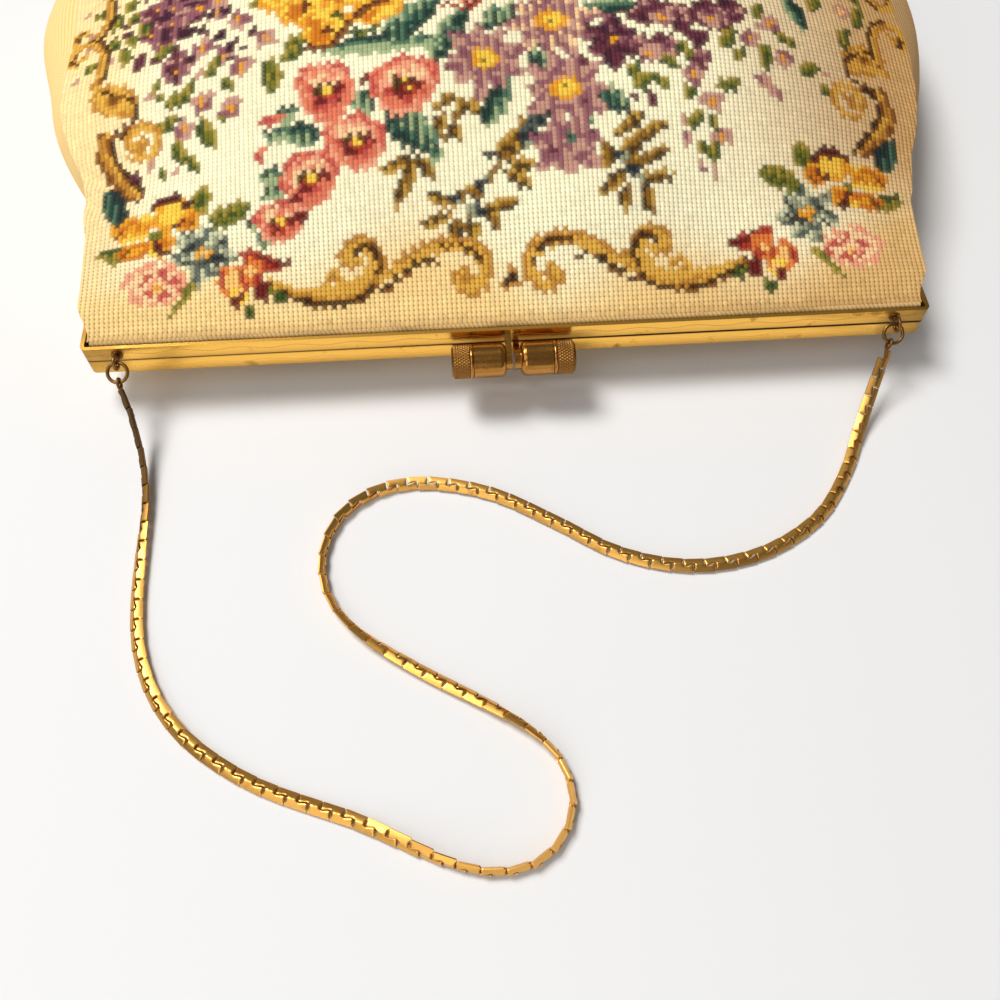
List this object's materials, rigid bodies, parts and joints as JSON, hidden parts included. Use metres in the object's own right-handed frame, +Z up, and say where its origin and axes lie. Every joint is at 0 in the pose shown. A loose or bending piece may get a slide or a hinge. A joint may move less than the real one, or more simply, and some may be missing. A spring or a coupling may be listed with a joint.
{
  "type": "needlepoint evening bag",
  "caption": "Soft needlepoint pouch bag with a hinged gold-tone metal frame, a barrel kiss-lock clasp and a flat link chain handle, lying on its back.",
  "frame": {"origin": "on the table under the middle of the bag without its chain", "axes": "+Z up out of the front panel, -Y towards the metal frame and chain, +X along the frame"},
  "size_m": [0.249, 0.2759, 0.052],
  "materials": {
    "frame_metal": "polished gold tone with an engraved wavy line and dark patina at the corners",
    "rivet_metal": "dull gold tone",
    "clasp_metal": "worn polished gold tone",
    "knurled_metal": "knurled, with dark grooves",
    "chain_metal": "antique gold tone with dark gaps",
    "needlepoint": "cream petit-point wool with a floral pattern",
    "gusset_cloth": "ribbed cream cloth",
    "lining_cloth": "smooth pale sateen",
    "piping_cord": "twisted cream cord"
  },
  "bodies": {
    "bag": {"frame_back": "frame_metal", "hinge_rivet_left": "rivet_metal", "hinge_rivet_right": "rivet_metal", "clasp_stalk_back": "clasp_metal", "clasp_barrel_back": "clasp_metal", "clasp_cap_back": "knurled_metal", "jump_ring_left": "chain_metal", "jump_ring_right": "chain_metal", "chain_links": "chain_metal", "front_panel": "needlepoint", "back_panel": "needlepoint", "gusset_left": "gusset_cloth", "gusset_right": "gusset_cloth", "lining_front": "lining_cloth", "lining_back": "lining_cloth", "piping_back": "piping_cord"},
    "front_frame": {"frame_front": "frame_metal", "clasp_stalk_front": "clasp_metal", "clasp_barrel_front": "clasp_metal", "clasp_cap_front": "knurled_metal", "chain_eye_left": "chain_metal", "chain_eye_right": "chain_metal", "piping_front": "piping_cord"}
  },
  "joints": [
    {"name": "frame_hinge", "type": "hinge", "parent": "bag", "child": "front_frame", "pos_m": [0, -0.0482, 0.0132], "axis": [-1, 0, 0], "range_deg": [0, 60], "deforming": ["chain_links", "jump_ring_left", "jump_ring_right"]}
  ]
}
